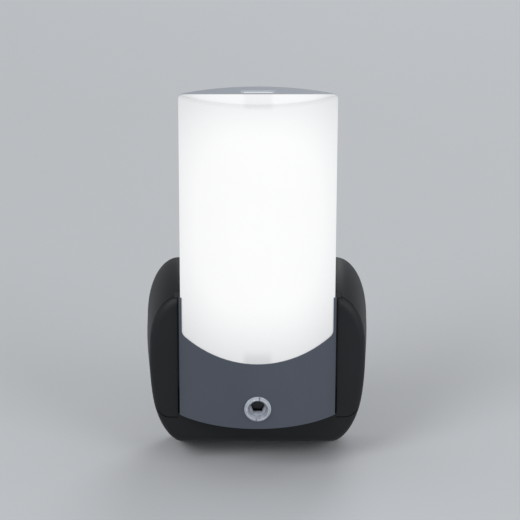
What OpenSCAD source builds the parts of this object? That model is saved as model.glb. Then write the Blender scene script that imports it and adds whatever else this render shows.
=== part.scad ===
// Plug-in night light: a lens-shaped lamp that stands in a wall cradle with two-blade plug.
// Frame: origin on the wall plane at the plug's centre, +Z up, the wall at +Y, the room at -Y.
// "Depth" below always means the distance out from the wall, so y = -depth.

/* [Base] */
// Width of the base at the wall
base_w = 75.4; // [72:0.2:80]
// Height of the base's top edge above the plug
base_top = 33.4; // [32:0.2:36]
// Drop of the base's bottom edge below the plug
base_drop = 32.8; // [31:0.2:36]
// Depth of the base from the wall to the wing faces
base_depth = 25; // [24.4:0.1:26]
// Thickness of the wing faces, in front of the seam between the two base shells
wing_t = 2; // [1.6:0.1:2.4]
// Wall of the base shells
base_wall = 2; // [1.6:0.1:2.2]
// Radius of the bulging sides
side_bulge_r = 106; // [90:1:160]
// Height of the widest place of the sides
side_bulge_z = 6; // [0:0.5:10]
// Width of the elliptical top corners
top_corner_w = 10.8; // [8:0.2:12]
// Height of the elliptical top corners
top_corner_h = 20.5; // [14:0.5:24]
// Width of the rounded bottom corners
bottom_corner_w = 10; // [7:0.2:12]
// Height of the rounded bottom corners
bottom_corner_h = 21; // [15:0.5:23]
// Draw-in of the top from the wall to the seam
top_draw = 4.7; // [3.5:0.1:5.5]
// Draw-in of the bottom from the wall to the seam
bottom_draw = 7.9; // [6:0.1:8.5]
// Draw-in of each side from the wall to the seam
side_draw = 1.4; // [0.8:0.1:2]
// Lowest line of the wing faces
wing_bottom_z = -15.2; // [-16:0.1:-14.6]

/* [Lamp] */
// Width of the lamp body
lamp_w = 51.5; // [49:0.1:52.5]
// Height of the lamp body
lamp_h = 113.1; // [100:0.5:130]
// Height of the lamp's foot, measured from the plug's centre
foot_z = -13.5; // [-14:0.1:-12.5]
// How far the parting plane of the lamp's two halves stands in front of the wing faces
parting_proud = 1.4; // [1.2:0.05:1.8]
// Bow of the front half
front_bow = 11.2; // [10.6:0.1:12.5]
// Bow of the rear half
rear_bow = 8.5; // [8:0.1:8.7]
// Wall of the shade and the rear cover
lamp_wall = 1.8; // [1.5:0.1:2]
// Radius of the lamp's upper corners
lamp_corner_r = 1.6; // [1:0.1:3]

/* [Shade and front panel] */
// Lowest point of the shade's visible edge
smile_z = 9.8; // [8:0.1:12]
// Radius of the shade's lower edge
smile_r = 52.8; // [46:0.2:70]
// Half width of the window in the front panel
window_half_w = 25.3; // [24.6:0.1:25.4]
// Fillet where the lower edge turns up into the panel's arms
smile_fillet = 2; // [1:0.1:3]
// Height of the panel's two arms
arm_top_z = 29.2; // [26:0.1:32]
// How far the panel stands proud of the shade
panel_proud = 0.35; // [0.2:0.05:0.5]
// Wall of the front panel
panel_wall = 1.2; // [1:0.05:1.3]
// Height of the shade's skirt tucked behind the panel
skirt_h = 3; // [2:0.5:4]

/* [Latch] */
// Width of the shade's snap tabs
tab_w = 9.4; // [8:0.2:12]
// Thickness of the snap tabs
tab_t = 1.4; // [1:0.1:1.8]
// Length of the latch slot in the rear cover, front to back
slot_l = 2.3; // [2:0.1:3]
// Distance of the latch slot behind the parting plane
slot_set_back = 1.75; // [1.4:0.05:2.4]

/* [Light sensor] */
// Height of the sensor
sensor_z = -6.2; // [-6.8:0.1:-5]
// Diameter of the sensor collar where it leaves the panel
collar_d = 8.9; // [8:0.1:10]
// Diameter of the collar's front ring
collar_front_d = 8.15; // [7.5:0.05:8.6]
// Bore of the collar at the photocell
collar_bore_d = 4.6; // [4:0.1:5.2]
// Mouth of the collar's tapered bore
collar_mouth_d = 5.7; // [5.3:0.1:6.2]
// How far the collar stands out of the panel
collar_proud = 1.1; // [0.8:0.1:1.6]
// Depth of the photocell's face below the collar's front
cell_set_back = 5; // [4.4:0.1:5.6]

/* [Plug] */
// Blade spacing, centre to centre
blade_pitch = 12.7; // [12.7:0.1:12.7]
// Blade width
blade_w = 6.35; // [6.2:0.05:6.5]
// Blade thickness
blade_t = 1.52; // [1.4:0.02:1.6]
// Blade length beyond the wall face
blade_l = 17; // [16:0.1:18]
// Hole through each blade
blade_hole_d = 3.18; // [2.9:0.02:3.3]
// Distance of that hole from the wall face
blade_hole_y = 11.9; // [11.5:0.1:12.1]
// Width of the plug insert
insert_w = 29; // [26:0.5:32]
// Height of the plug insert
insert_h = 22; // [20:0.5:24]

/* [Switch] */
// Diameter of the push button on the lamp's back
button_d = 9; // [7:0.1:10]
// Height of the push button
button_z = 0; // [-1:0.1:1]
// Travel of the push button
button_travel = 0.8; // [0.5:0.1:1]

/* [Electronics] */
// Thickness of the mains board and the control board
board_t = 1.6; // [1.2:0.1:1.6]
// Depth of the mains board's back face
driver_board_depth = 6; // [5.8:0.1:6.4]
// Width of the mains board
driver_board_w = 44; // [43:0.5:46]
// Height of the mains board
driver_board_h = 46; // [42:0.5:46]
// Distance of the control board's back face behind the parting plane
control_board_set_back = 1.4; // [1.2:0.05:1.6]
// Height of both charging coils
coil_z = 19; // [18.6:0.1:19.4]
// Outer diameter of both charging coils
coil_d = 17; // [14:0.5:18]
// Number of light emitting diodes
led_count = 4; // [3:1:5]
// Spacing of the light emitting diodes
led_pitch = 14; // [10:0.5:14]
// Height of the middle of the row of diodes
led_row_z = 54; // [50:0.5:58]

/* [Screws and clearances] */
// Shank diameter of the screws
screw_d = 2.2; // [2:0.1:2.4]
// Head diameter of the screws
screw_head_d = 4; // [3.6:0.1:4.2]
// Head height of the screws
screw_head_h = 1.4; // [1.2:0.1:1.6]
// Side gap between the lamp's panel and the wing edges
wing_gap = 0.6; // [0.5:0.05:0.9]
// Gap between the lamp's back and the cradle
back_gap = 0.5; // [0.4:0.05:0.6]
// Gap between fixed pieces that fit into each other
fit_gap = 0.05; // [0.02:0.01:0.1]
// Gap round pieces that slide
slide_gap = 0.3; // [0.2:0.05:0.4]
// Gap below the lamp's foot when it stands in the cradle
foot_gap = 0.1; // [0.05:0.01:0.2]

/* [Hidden] */
$fn = 96;
eps = 0.01;
far = 200;

// Lamp: both bows are circular arcs through the edges of the parting plane
parting_depth = base_depth + parting_proud;
control_board_depth = parting_depth - control_board_set_back;
lamp_half_w = lamp_w / 2;
lamp_top_z = foot_z + lamp_h;
function bow_r(half_w, bow) = (half_w * half_w + bow * bow) / (2 * bow);
front_r = bow_r(lamp_half_w, front_bow);
rear_r = bow_r(lamp_half_w, rear_bow);
front_axis = parting_depth + front_bow - front_r;
rear_axis = parting_depth - rear_bow + rear_r;
nose_depth = parting_depth + front_bow;
back_depth = parting_depth - rear_bow;
panel_r = front_r + panel_proud;
panel_half_w = sqrt(pow(panel_r, 2) - pow(parting_depth - front_axis, 2));
// Depth of the front or the rear bow of radius r at the distance x from the middle
function front_at(r, x) = front_axis + sqrt(r * r - x * x);
function rear_at(r, x) = rear_axis - sqrt(r * r - x * x);

// Base: the outline at each depth is the wall outline drawn in at top, bottom and sides
rim_depth = 3;
seam_depth = base_depth - wing_t;
edge_round = wing_t;
outline_steps = 7;
function draw(depth) = max(0, (depth - rim_depth) / (seam_depth - rim_depth));
function edge_in(depth) = depth <= seam_depth ? 0
    : edge_round - sqrt(max(0, pow(edge_round, 2) - pow(depth - seam_depth, 2)));
ring_depths = concat([for (u = [0:0.145:0.9]) rim_depth + u * (seam_depth - rim_depth)],
                     [seam_depth, seam_depth + 0.45 * edge_round, seam_depth + 0.8 * edge_round,
                      seam_depth + 0.96 * edge_round, base_depth]);
hollow_depths = [for (u = [0:0.2:1]) rim_depth + u * (seam_depth - rim_depth)];

// Cradle: channel for the lamp between the wings, with a groove for the lamp's side rails
floor_z = foot_z - foot_gap;
floor_t = 1.8;
channel_half_w = panel_half_w + wing_gap;
channel_wall = 1.8;
wing_lip = 1.3;
rail_front = base_depth - wing_lip - slide_gap;
rail_t = 1.5;
rail_reach = 1.4;
rail_foot = 9;
rail_set_down = 1.8;
rail_half_w = panel_half_w + rail_reach;
groove_front = rail_front + slide_gap;
groove_back = rail_front - rail_t - slide_gap;
groove_half_w = rail_half_w + slide_gap;
channel_mouth = max(base_depth, parting_depth) + 1;
wing_flat = 2.8;
wing_margin = 1;
wing_corner_h = 12;
floor_rib_xs = [-16, -5.4, 5.4, 16];
floor_rib_t = 1.4;
floor_rib_depth = 14;

// Screws of the base stand in the wings, screws of the lamp beside the sensor
base_screw_zs = [14, -2];
base_boss_d = 4.4;
base_boss_back = 6.4;
base_screw_bite = 5;
collar_wall = 0.6;
board_gap = 0.2;
base_screw_x = driver_board_w / 2 + collar_wall + board_gap + base_boss_d / 2;
head_screw_x = 17;
head_screw_z = -8;
head_boss_d = screw_head_d + 1;
head_screw_bite = 3;
head_counterbore = 2.2;
screw_hole_l = 9;
counterbore_t = 1.2;
collar_ring_w = 1.5;
collar_ring_l = 2.2;

// Plug insert: a block through the back wall with a flange inside it
insert_recess = 0.3;
insert_flange = 1.6;
insert_flange_t = 1.4;
insert_back = base_wall + insert_flange_t + 0.2;
insert_frame_t = 1.4;
aperture_gap = 0.1;
blade_tail_l = 1.2;
blade_tip_l = 1.6;
blade_tip_in = 1.4;
contact_w = 4;
contact_t = 0.5;
contact_tail = 1;

// Mains board and its parts
board_front = driver_board_depth + board_t;
post_d = 4;
post_x = 18;
post_z = 19;
pin_d = 2;
pin_l = 0.8;
lead_pin_d = 0.7;
lead_tail = 0.8;
film_x = 17;
film_z = 3;
film_w = 8;
film_h = 13;
film_t = 7;
film_bevel = 1;
film_lead_pitch = 10;
elcap_x = -17.5;
elcap_z = -7;
elcap_d = 7;
elcap_l = 10.5;
elcap_neck = 0.4;
elcap_neck_l = 0.6;
elcap_cap_l = 1;
rectifier_x = -3;
rectifier_z = -15;
rectifier_w = 8.4;
rectifier_h = 6.4;
rectifier_t = 2.7;
rectifier_lift = 0.3;
rectifier_leg = [1, 2.2, 1.2];
rectifier_pitch = [5.2, 8.4];
fuse_x = 12;
fuse_z = -15;
fuse_d = 3.2;
fuse_l = 9;
fuse_cap_d = 3.6;
fuse_cap_l = 1.4;
fuse_lead_l = 1;
fuse_axis = board_front + fuse_cap_d / 2;
chip_pitch = 1.27;
chip_pin_w = 0.4;
chip_lift = 0.2;
chip_t = 1.4;
chip_h = 4;
chip_pin_reach = 1;
driver_chip_x = 6;
driver_chip_z = -9;
driver_chip_w = 5;
driver_chip_pins = 4;

// Charging coils
coil_h = 2;
bobbin_t = 0.5;
bobbin_core_d = 6;
bobbin_wall = 1.2;
bobbin_leg_d = 1.2;
bobbin_leg_x = 5;
bobbin_leg_drop = 4;
charger_depth = back_depth - back_gap - channel_wall - coil_h - 2 * bobbin_t;
pickup_depth = rear_at(rear_r - lamp_wall, coil_d / 2) + fit_gap / 2;

// Reflector, diodes, control board and battery of the lamp
reflector_t = 1;
reflector_depth = parting_depth;
reflector_half_w = 21.2;
reflector_fold = 3.2;
reflector_fold_in = 3;
reflector_z0 = 11;
reflector_z1 = lamp_top_z - 4.2;
led_board_t = 1;
led_board_w = 9;
led_board_end = 5;
led_w = 5;
led_t = 1.2;
led_dome_d = 4.2;
led_dome_top_d = 2.4;
led_dome_h = 0.9;
led_depth = reflector_depth + reflector_t + led_board_t;
led_row_half = (led_count - 1) * led_pitch / 2;
control_board_half_w = 12.5;
control_board_z = [-11.2, 9];
control_chip_z = 4;
control_chip_w = 8.8;
control_chip_pins = 7;
board_post_d = 2.6;
board_post_x = 10;
board_post_zs = [-9, 7];
cell_lead_pitch = 2.54;
cell_lead_d = 0.6;
cell_t = 2;
lens_tail = 2.6;
lens_step = 0.25;
lens_bevel = 0.45;
lens_crown = 0.2;
holder_floor = 1.2;
tact_w = 6;
tact_t = 1.9;
tact_stem_d = 3.2;
tact_slack = 0.15;
button_recess = 0.15;
button_l = 3;
button_flange = 0.8;
button_ring_w = 1.5;
button_ring_end = back_depth + 2.4;
button_face = back_depth + button_recess;
battery_w = 24;
battery_z = [34, 74];
battery_t = 4.6;
battery_depth = reflector_depth - battery_t;
battery_rib_zs = [42, 64];
battery_tab_x = 6;
battery_tab_w = 3;
battery_tab_t = 0.3;
battery_tab_l = 1.6;
lead_d = 1.2;
rib_t = 1.2;
barb_sunk = 0.2;
barb_flat = 1;
reflector_rib_w = 12;
coil_rib_drop = 6;
coil_rib_w = 12;

// ---------- shared shapes ----------

// Extrudes an x-z outline between two depths
module plate(depth0, depth1) {
    translate([0, -depth0, 0]) rotate([90, 0, 0]) linear_extrude(depth1 - depth0) children();
}

// A box between two depths, centred on x
module slab(half_w, depth0, depth1, z0, z1) {
    translate([-half_w, -depth1, z0]) cube([2 * half_w, depth1 - depth0, z1 - z0]);
}

// A round bar that points out of the wall
module peg(d, depth0, depth1, x = 0, z = 0) {
    translate([x, -depth0, z]) rotate([90, 0, 0]) cylinder(d = d, h = depth1 - depth0);
}

// Quarter of an ellipse from angle a0 to a1, as outline points
function arc(cx, cz, rx, rz, a0, a1, n = outline_steps) =
    [for (i = [0:n]) let (a = a0 + (a1 - a0) * i / n) [cx + rx * cos(a), cz + rz * sin(a)]];

// A quarter of an ellipse that leaves p along the side's lean and ends level at q
function lean_arc(p, q, lean, n = outline_steps) =
    let (corner = [p[0] - lean * (p[1] - q[1]), q[1]])
    [for (i = [0:n]) let (a = 90 * i / n)
        corner + (p - corner) * (1 - sin(a)) + (q - corner) * (1 - cos(a))];

function mirrored(points) = [for (i = [len(points) - 1:-1:0]) [-points[i][0], points[i][1]]];

// Outline of the base, drawn in for its depth and moved in by a wall
function base_outline(depth, wall = 0) =
    let (u = draw(depth), e = edge_in(depth) + wall,
         half_w = base_w / 2 - side_draw * u - e,
         top = base_top - top_draw * u * u - e,
         bottom = -base_drop + bottom_draw * pow(u, 1.33) + e,
         zt = base_top - top_corner_h - top_draw * u * u / 2,
         zb = -base_drop + bottom_corner_h + bottom_draw * pow(u, 1.33) / 2,
         side = [for (z = [zt, zb]) half_w - pow(z - side_bulge_z, 2) / (2 * side_bulge_r)],
         tw = max(1, top_corner_w - e / 2), bw = max(1, bottom_corner_w - e / 2),
         n = outline_steps)
    concat(arc(side[0] - tw, zt, tw, top - zt, 90, 0),
           [for (i = [1:n - 1]) let (z = zt + (zb - zt) * i / n)
               [half_w - pow(z - side_bulge_z, 2) / (2 * side_bulge_r), z]],
           lean_arc([side[1], zb], [side[1] - bw, bottom], (side_bulge_z - zb) / side_bulge_r));

module base_section(depth, wall = 0) {
    points = base_outline(depth, wall);
    polygon(concat(points, mirrored(points)));
}

// The whole pebble of the base: a straight rim at the wall, then the drawn-in body
module base_form() {
    plate(0, rim_depth) base_section(0);
    hull() for (d = ring_depths) plate(d - eps, d) base_section(d);
}

// The hollow of the base, one wall inside its form, reaching past the seam
module base_hollow(wall, reach = 0) {
    hull() for (d = concat([base_wall + eps], hollow_depths)) {
        plate(d - eps, d) base_section(d, wall);
    }
    if (reach > 0) plate(seam_depth - eps, seam_depth + reach) base_section(seam_depth, wall);
}

// Outline of the right half of the front shell: a foot with a rounded corner beside the floor
module wing_outline() {
    outer = base_w / 2 - wing_margin;
    corner_w = outer - channel_half_w - wing_flat;
    foot = arc(outer - corner_w, wing_bottom_z + wing_corner_h, corner_w, wing_corner_h, -90, 0);
    // over the floor the outline ends inside the channel, which is cut from both shells
    polygon(concat([[-eps, base_top], [-eps, floor_z + floor_t],
                    [channel_half_w - back_gap, floor_z + floor_t],
                    [channel_half_w - back_gap, floor_z + eps],
                    [channel_half_w, floor_z + eps], [channel_half_w, wing_bottom_z]],
                   foot, [[outer, base_top]]));
}

module both_sides() {
    children();
    mirror([1, 0, 0]) children();
}

// Space swept by the lamp and its rails when it is lifted out, grown by a gap
module channel(gap, grow = 0) {
    r = rear_r + gap + grow;
    translate([0, 0, floor_z]) {
        intersection() {
            translate([0, -rear_axis, 0]) cylinder(r = r, h = far, $fn = 180);
            slab(groove_half_w + grow, 0, channel_mouth, 0, far);
        }
        slab(groove_half_w + grow, groove_back - grow, groove_front, 0, far);
        slab(channel_half_w + grow, groove_back - grow, channel_mouth, 0, far);
    }
}

// Half of the lens section in front of or behind the parting plane
module front_half(r, z0, z1) {
    intersection() {
        translate([0, -front_axis, z0]) cylinder(r = r, h = z1 - z0, $fn = 180);
        slab(far, parting_depth, far, z0, z1);
    }
}

module rear_half(r, z0, z1, half_w = far) {
    intersection() {
        translate([0, -rear_axis, z0]) cylinder(r = r, h = z1 - z0, $fn = 180);
        slab(half_w, 0, parting_depth, z0, z1);
    }
}

// Front view of the lamp, with rounded upper corners
module lamp_front_view(inset = 0) {
    half = far / 2;
    r = lamp_corner_r;
    corner = arc(lamp_half_w - inset - r, lamp_top_z - inset - r, r, r, 0, 90, 6);
    side = concat([[lamp_half_w - inset, foot_z - half]], corner);
    polygon(concat(side, mirrored(side)));
}

// Window of the front panel: the lower edge is an arc that turns up into the arms
module window(gap = 0, drop = 0) {
    half_w = window_half_w - gap;
    f = smile_fillet;
    cz = smile_z + gap - drop + smile_r;
    fx = half_w - f;
    fz = cz - sqrt(pow(smile_r - f, 2) - fx * fx);
    turn = atan2(fx, cz - fz);
    lower = [for (i = [0:12]) let (a = turn * i / 12) [smile_r * sin(a), cz - smile_r * cos(a)]];
    fillet = arc(fx, fz, f, f, turn - 90, 0, 5);
    side = concat(lower, fillet, [[half_w, lamp_top_z + 5]]);
    polygon(concat(side, mirrored(side)));
}

// Pan-head screw driven out of the wall, its head's bearing face at the given depth
module screw(x, z, depth, length) {
    difference() {
        union() {
            peg(screw_d, depth - eps, depth + length, x, z);
            peg(screw_head_d, depth - screw_head_h, depth, x, z);
        }
        for (a = [0, 90]) translate([x, -depth + screw_head_h, z]) rotate([0, a, 0])
            cube([0.5, 1.2, 2.4], center = true);
    }
}

// ---------- base ----------

module base_rear_shell() color([0.17, 0.18, 0.20]) {
    difference() {
        union() {
            difference() {
                base_form();
                base_hollow(base_wall);
            }
            // floor of the cradle on its ribs
            intersection() {
                base_form();
                union() {
                    slab(groove_half_w + channel_wall, 12, base_depth + 1, floor_z - floor_t,
                        floor_z);
                    for (x = floor_rib_xs) translate([x, 0, 0])
                        slab(floor_rib_t / 2, floor_rib_depth, seam_depth + eps, -base_drop,
                            floor_z - floor_t + eps);
                }
            }
            // collars round the screws and posts for the mains board
            both_sides() {
                for (z = base_screw_zs) peg(base_boss_d + 2 * collar_wall, base_wall - eps,
                    base_boss_back, base_screw_x, z);
                for (z = [-post_z, post_z]) {
                    peg(post_d, base_wall - eps, driver_board_depth, post_x, z);
                    peg(pin_d, driver_board_depth - eps, board_front + pin_l, post_x, z);
                }
            }
            // frame round the plug insert
            difference() {
                slab(insert_w / 2 + insert_flange + insert_frame_t, base_wall - eps, insert_back,
                    -insert_h / 2 - insert_flange - insert_frame_t,
                    insert_h / 2 + insert_flange + insert_frame_t);
                slab(insert_w / 2 + insert_flange + aperture_gap, base_wall, insert_back + 1,
                    -insert_h / 2 - insert_flange - aperture_gap,
                    insert_h / 2 + insert_flange + aperture_gap);
            }
        }
        // front opening for the other shell
        plate(seam_depth, base_depth + 1) both_sides() wing_outline();
        channel(back_gap);
        slab(insert_w / 2 + aperture_gap, -1, base_wall + 1,
            -insert_h / 2 - aperture_gap, insert_h / 2 + aperture_gap);
        both_sides() for (z = base_screw_zs) {
            peg(screw_head_d + 0.6, -1, counterbore_t + screw_head_h, base_screw_x, z);
            peg(screw_d + 0.4, 0, base_boss_back + 1, base_screw_x, z);
        }
    }
}

module base_front_shell() color([0.19, 0.20, 0.22]) {
    difference() {
        union() {
            // wing faces
            intersection() {
                base_form();
                plate(seam_depth, base_depth) both_sides() wing_outline();
            }
            // wall of the channel
            intersection() {
                channel(back_gap, channel_wall);
                base_hollow(base_wall + fit_gap, wing_t / 2);
            }
            // screw bosses
            both_sides() for (z = base_screw_zs) {
                peg(base_boss_d, base_boss_back, groove_back, base_screw_x, z);
            }
        }
        channel(back_gap);
        slab(far, 0, seam_depth, -far, floor_z);
        both_sides() for (z = base_screw_zs) {
            peg(screw_d + 2 * fit_gap, base_boss_back - 1, base_boss_back + screw_hole_l,
                base_screw_x, z);
        }
    }
}

module plug_insert() color([0.13, 0.13, 0.14]) {
    difference() {
        union() {
            slab(insert_w / 2, insert_recess, insert_back, -insert_h / 2, insert_h / 2);
            slab(insert_w / 2 + insert_flange, base_wall, insert_back,
                -insert_h / 2 - insert_flange, insert_h / 2 + insert_flange);
        }
        both_sides() translate([blade_pitch / 2, 0, 0])
            slab(blade_t / 2 + fit_gap, -1, insert_back + 1, -blade_w / 2 - fit_gap,
                blade_w / 2 + fit_gap);
    }
}

module plug_blades() color([0.80, 0.74, 0.55]) {
    both_sides() difference() {
        translate([blade_pitch / 2, 0, 0]) {
            // the blade narrows to its tip
            translate([-blade_t / 2, 0, 0]) rotate([90, 0, 90]) linear_extrude(blade_t) polygon([
                [-insert_back - blade_tail_l, -blade_w / 2], [blade_l - blade_tip_l, -blade_w / 2],
                [blade_l, -blade_w / 2 + blade_tip_in], [blade_l, blade_w / 2 - blade_tip_in],
                [blade_l - blade_tip_l, blade_w / 2], [-insert_back - blade_tail_l, blade_w / 2]]);
        }
        translate([0, blade_hole_y, 0]) rotate([0, 90, 0]) cylinder(d = blade_hole_d, h = far);
    }
}

// Brass strips from the blades' tails to the mains board
module blade_contacts() color([0.80, 0.65, 0.35]) {
    both_sides() {
        x = blade_pitch / 2 + blade_t / 2;
        tail = board_front + contact_tail;
        translate([x, -tail, -contact_w / 2])
            cube([contact_t, tail - insert_back - fit_gap, contact_w]);
    }
}

module driver_board() color([0.16, 0.36, 0.24]) {
    difference() {
        slab(driver_board_w / 2, driver_board_depth, driver_board_depth + board_t,
            -driver_board_h / 2, driver_board_h / 2);
        both_sides() {
            for (z = [-post_z, post_z]) peg(pin_d + 2 * fit_gap, 0, far / 4, post_x, z);
            translate([blade_pitch / 2 + blade_t / 2 + contact_t / 2, 0, 0])
                slab(contact_t / 2 + fit_gap, 0, far / 4, -contact_w / 2 - fit_gap,
                    contact_w / 2 + fit_gap);
        }
        film_leads(2 * fit_gap);
        fuse_leads(2 * fit_gap);
    }
}

// Leads of the parts that pass through the board, grown for their holes
module film_leads(grow = 0) {
    for (s = [-0.5, 0.5]) peg(lead_pin_d + grow, driver_board_depth - lead_tail,
        board_front + eps, film_x, film_z + s * film_lead_pitch);
}

module fuse_leads(grow = 0) {
    for (s = [-1, 1]) peg(lead_pin_d + grow, driver_board_depth - lead_tail,
        fuse_axis + lead_pin_d / 2 - fit_gap, fuse_x + s * (fuse_l / 2 + fuse_lead_l), fuse_z);
}

module film_capacitor() color([0.72, 0.20, 0.14]) {
    front = board_front + film_t;
    difference() {
        translate([film_x, 0, film_z])
            slab(film_w / 2, board_front, front, -film_h / 2, film_h / 2);
        for (s = [-0.5, 0.5]) translate([film_x, -front, film_z + s * film_h])
            rotate([45, 0, 0]) cube([far, film_bevel, film_bevel], center = true);
    }
    film_leads();
}

module electrolytic_capacitor() color([0.15, 0.17, 0.30]) {
    r = elcap_d / 2;
    translate([elcap_x, -board_front - r, elcap_z]) {
        cylinder(r = r, h = elcap_l);
        translate([0, 0, elcap_l - eps]) cylinder(r = r - elcap_neck, h = elcap_neck_l + 2 * eps);
        translate([0, 0, elcap_l + elcap_neck_l]) cylinder(r = r, h = elcap_cap_l);
    }
}

module bridge_rectifier() color([0.12, 0.12, 0.13]) {
    translate([rectifier_x, 0, rectifier_z]) {
        slab(rectifier_w / 2, board_front + rectifier_lift,
            board_front + rectifier_lift + rectifier_t, -rectifier_h / 2, rectifier_h / 2);
        for (i = [-0.5, 0.5], k = [-0.5, 0.5])
            translate([i * rectifier_pitch[0], 0, k * rectifier_pitch[1]])
                slab(rectifier_leg[0] / 2, board_front, board_front + rectifier_leg[2],
                    -rectifier_leg[1] / 2, rectifier_leg[1] / 2);
    }
}

module fuse_resistor() color([0.42, 0.60, 0.50]) {
    translate([fuse_x, -fuse_axis, fuse_z]) rotate([0, 90, 0]) {
        translate([0, 0, -fuse_l / 2]) cylinder(d = fuse_d, h = fuse_l);
        for (z = [-fuse_l / 2, fuse_l / 2 - fuse_cap_l])
            translate([0, 0, z]) cylinder(d = fuse_cap_d, h = fuse_cap_l);
        for (z = [-fuse_l / 2 - fuse_lead_l, fuse_l / 2 - rib_t / 2])
            translate([0, 0, z]) cylinder(d = lead_pin_d, h = fuse_lead_l + rib_t / 2);
    }
    fuse_leads();
}

// Chip with pins along both long edges, standing on a board whose front is given
module chip(w, pins, front) {
    slab(w / 2, front + chip_lift, front + chip_lift + chip_t, -chip_h / 2, chip_h / 2);
    for (i = [0:pins - 1]) translate([(i - (pins - 1) / 2) * chip_pitch, 0, 0])
        slab(chip_pin_w / 2, front, front + chip_lift + chip_t / 3, -chip_h / 2 - chip_pin_reach,
            chip_h / 2 + chip_pin_reach);
}

module driver_chip() color([0.11, 0.11, 0.12]) {
    translate([driver_chip_x, 0, driver_chip_z])
        chip(driver_chip_w, driver_chip_pins, board_front);
}

// Bobbin of a charging coil: two thin flanges on a core
module bobbin(depth) {
    difference() {
        union() {
            for (d = [depth, depth + coil_h + bobbin_t]) {
                peg(coil_d, d, d + bobbin_t, 0, coil_z);
            }
            peg(bobbin_core_d, depth, depth + coil_h + 2 * bobbin_t, 0, coil_z);
        }
        peg(bobbin_core_d - 2 * bobbin_wall, 0, far / 2, 0, coil_z);
    }
}

module winding(depth) {
    difference() {
        peg(coil_d - 1, depth + bobbin_t, depth + bobbin_t + coil_h, 0, coil_z);
        peg(bobbin_core_d, 0, far / 2, 0, coil_z);
    }
}

module charger_bobbin() color([0.85, 0.83, 0.76]) {
    bobbin(charger_depth);
    // legs that stand the bobbin on the mains board
    both_sides() peg(bobbin_leg_d, board_front, charger_depth + eps, bobbin_leg_x,
        coil_z - bobbin_leg_drop);
}

module charger_coil() color([0.72, 0.38, 0.18]) winding(charger_depth);

module base_screws() color([0.70, 0.71, 0.73]) {
    for (s = [-1, 1], z = base_screw_zs) {
        seat = counterbore_t + screw_head_h;
        screw(s * base_screw_x, z, seat, base_boss_back + base_screw_bite - seat);
    }
}

// ---------- lamp ----------

module shade() color([0.95, 0.96, 0.98]) {
    skirt_gap = fit_gap;
    skirt_r = panel_r - panel_wall - skirt_gap;
    inner_r = front_r - lamp_wall;
    top_in = lamp_top_z - lamp_wall;
    difference() {
        union() {
            // the part that shows: inside the window, and full width above the arms
            intersection() {
                front_half(front_r, smile_z, lamp_top_z);
                union() {
                    plate(0, far / 2) intersection() {
                        lamp_front_view();
                        window(skirt_gap);
                    }
                    plate(0, far / 2) intersection() {
                        lamp_front_view();
                        translate([-far / 2, arm_top_z + skirt_gap]) square([far, far]);
                    }
                }
            }
            // the skirt behind the panel
            intersection() {
                front_half(skirt_r, smile_z - skirt_h - 1, arm_top_z);
                plate(0, far / 2) window(0, skirt_h);
            }
        }
        intersection() {
            front_half(inner_r, 0, lamp_top_z);
            plate(0, far / 2) lamp_front_view(lamp_wall);
        }
    }
    // upper latch: a tongue under the rear cover's top, its barb in the slot
    tongue_z = top_in - fit_gap - tab_t;
    tongue_back = parting_depth - slot_set_back - slot_l - 0.2;
    slab(tab_w / 2, tongue_back, parting_depth + 0.6, tongue_z, tongue_z + tab_t);
    slab(tab_w / 2, parting_depth + 0.1, parting_depth + 4, tongue_z, top_in + eps);
    barb_front = parting_depth - slot_set_back - 0.2;
    barb_top = lamp_top_z - barb_sunk;
    translate([-tab_w / 2, 0, 0]) rotate([90, 0, 90]) linear_extrude(tab_w) polygon([
        [-barb_front, tongue_z + tab_t - eps], [-barb_front, barb_top],
        [-barb_front + barb_flat, barb_top], [-tongue_back - 0.4, tongue_z + tab_t - eps]]);
    // lower latch: a hook behind the panel's edge
    hook_front = front_at(skirt_r, tab_w / 2) - 0.02;
    difference() {
        slab(tab_w / 2, hook_front - 2.2, hook_front, smile_z - skirt_h - 3.4, smile_z + 3.6);
        slab(tab_w / 2 - 1, 0, hook_front - 1.2, smile_z - skirt_h - 2.4, smile_z + 2.6);
    }
}

module front_panel() color([0.40, 0.43, 0.46]) {
    inner_r = panel_r - panel_wall;
    floor_top = foot_z + lamp_wall;
    difference() {
        union() {
            difference() {
                front_half(panel_r, foot_z, arm_top_z);
                front_half(inner_r, floor_top, lamp_top_z);
                plate(0, far / 2) window();
            }
            // screw bosses, tied to the floor by webs
            both_sides() {
                intersection() {
                    union() {
                        peg(head_boss_d, parting_depth, nose_depth, head_screw_x, head_screw_z);
                        translate([head_screw_x, 0, 0]) slab(rib_t / 2, parting_depth + rib_t,
                            nose_depth, foot_z + eps, head_screw_z);
                    }
                    front_half(inner_r + 0.3, foot_z, arm_top_z);
                }
            }
            // ring that the sensor collar sits in
            intersection() {
                peg(collar_d + 2 * collar_ring_w, nose_depth - panel_wall - collar_ring_l,
                    nose_depth, 0, sensor_z);
                front_half(inner_r + 0.3, foot_z, arm_top_z);
            }
        }
        peg(collar_d + 2 * fit_gap, parting_depth, far / 2, 0, sensor_z);
        both_sides() peg(screw_d + 2 * fit_gap, parting_depth - 1,
            parting_depth + head_screw_bite + 0.4, head_screw_x, head_screw_z);
    }
}

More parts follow.
